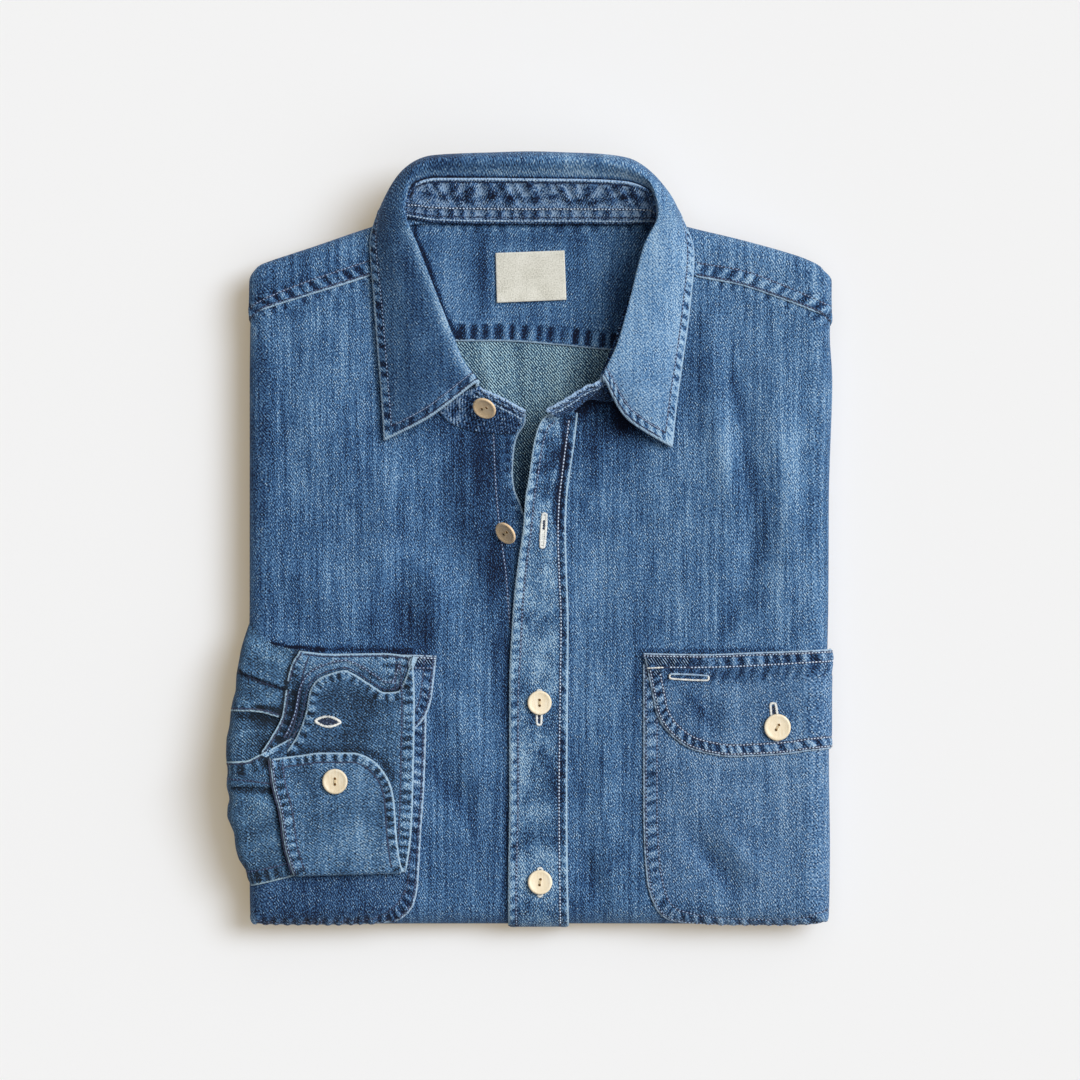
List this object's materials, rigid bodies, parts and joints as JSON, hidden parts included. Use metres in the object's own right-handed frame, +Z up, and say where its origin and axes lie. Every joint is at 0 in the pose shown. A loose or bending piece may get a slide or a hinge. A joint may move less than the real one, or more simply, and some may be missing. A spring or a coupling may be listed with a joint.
{
  "type": "folded denim shirt",
  "caption": "Folded denim shirt lying flat on its back, with the collar standing open, flap pockets on the fronts and a sleeve folded over one of them.",
  "frame": {"origin": "on the ground under the middle of the folded shirt's box", "axes": "+Y from the bottom fold towards the collar, +X towards the wearer's left, +Z up off the surface that it lies on"},
  "size_m": [0.3412, 0.4337, 0.0492],
  "materials": {
    "denim": "washed mid-blue twill with pale worn seams",
    "denim_inside": "paler wrong side of the twill",
    "button": "satin cream, two holes",
    "label": "plain woven cream, bare"
  },
  "bodies": {
    "root": {"front_left": "denim", "front_right": "denim", "yoke_outer": "denim", "yoke_inner": "denim", "back_inside": "denim_inside", "placket_front": "denim", "collar_leaf": "denim", "collar_stand": "denim", "neck_label": "label", "pocket_left": "denim", "pocket_right": "denim", "flap_left": "denim", "flap_right": "denim", "sleeve": "denim", "sleeve_placket": "denim", "cuff_under": "denim", "cuff_buttonhole_end": "denim", "cuff_button_end": "denim", "folded_layers": "denim", "button_collar": "button", "button_front_2": "button", "button_front_3": "button", "button_front_4": "button", "button_cuff": "button", "button_flap": "button"}
  },
  "joints": []
}
